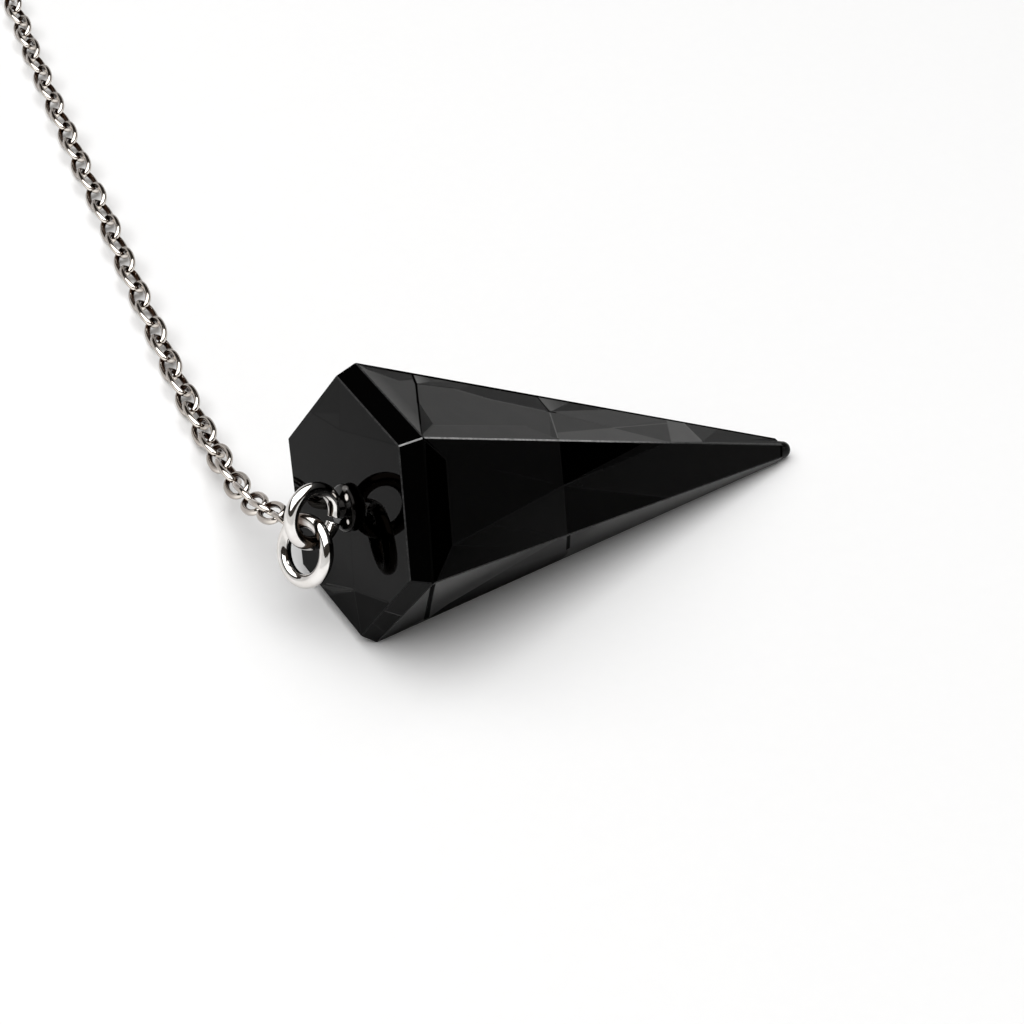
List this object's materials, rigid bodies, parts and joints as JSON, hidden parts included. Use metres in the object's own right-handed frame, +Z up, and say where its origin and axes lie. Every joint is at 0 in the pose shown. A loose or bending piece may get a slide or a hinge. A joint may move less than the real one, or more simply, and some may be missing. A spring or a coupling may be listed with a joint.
{
  "type": "pendulum pendant",
  "caption": "Faceted cone-shaped stone pendulum lying on one facet, with a screw eye, a round jump ring and a fine cable chain laid out to a plain end ring.",
  "frame": {"origin": "on the resting facet, straight under the middle of the stone's girdle", "axes": "+X from the flat end towards the stone's point, +Y along the laid-out chain, +Z up from the surface the stone lies on"},
  "size_m": [0.0429, 0.1135, 0.0166],
  "materials": {
    "stone": "near-black translucent stone, ground in flat facets and polished to a gloss",
    "fittings": "round wire, bright silver-coloured plating, slightly warm",
    "chain": "fine round-wire cable chain, bright silver-coloured plating"
  },
  "bodies": {
    "root": {"stone": "stone", "screw_eye": "fittings", "jump_ring": "fittings", "chain": "chain", "end_ring": "chain"}
  },
  "joints": []
}
